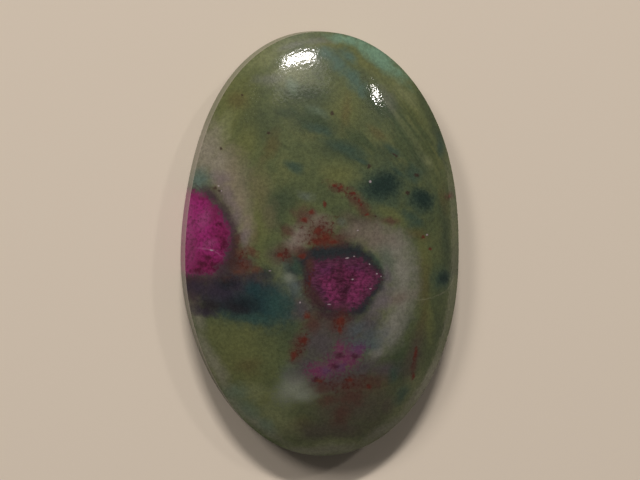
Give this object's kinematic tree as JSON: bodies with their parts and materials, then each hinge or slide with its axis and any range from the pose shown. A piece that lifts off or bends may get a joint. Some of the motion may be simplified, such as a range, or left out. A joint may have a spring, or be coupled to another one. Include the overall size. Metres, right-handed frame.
{
  "type": "ruby in fuchsite cabochon",
  "caption": "Oval polished gemstone with a low dome on a straight girdle wall, and a flat back, for setting or gluing.",
  "frame": {"origin": "middle of the flat back", "axes": "+Z out of the flat back through the dome, +Y along the length of the oval, +X across its width"},
  "size_m": [0.026, 0.0398, 0.0076],
  "materials": {
    "stone": "polished"
  },
  "bodies": {
    "root": {"cabochon": "stone"}
  },
  "joints": []
}
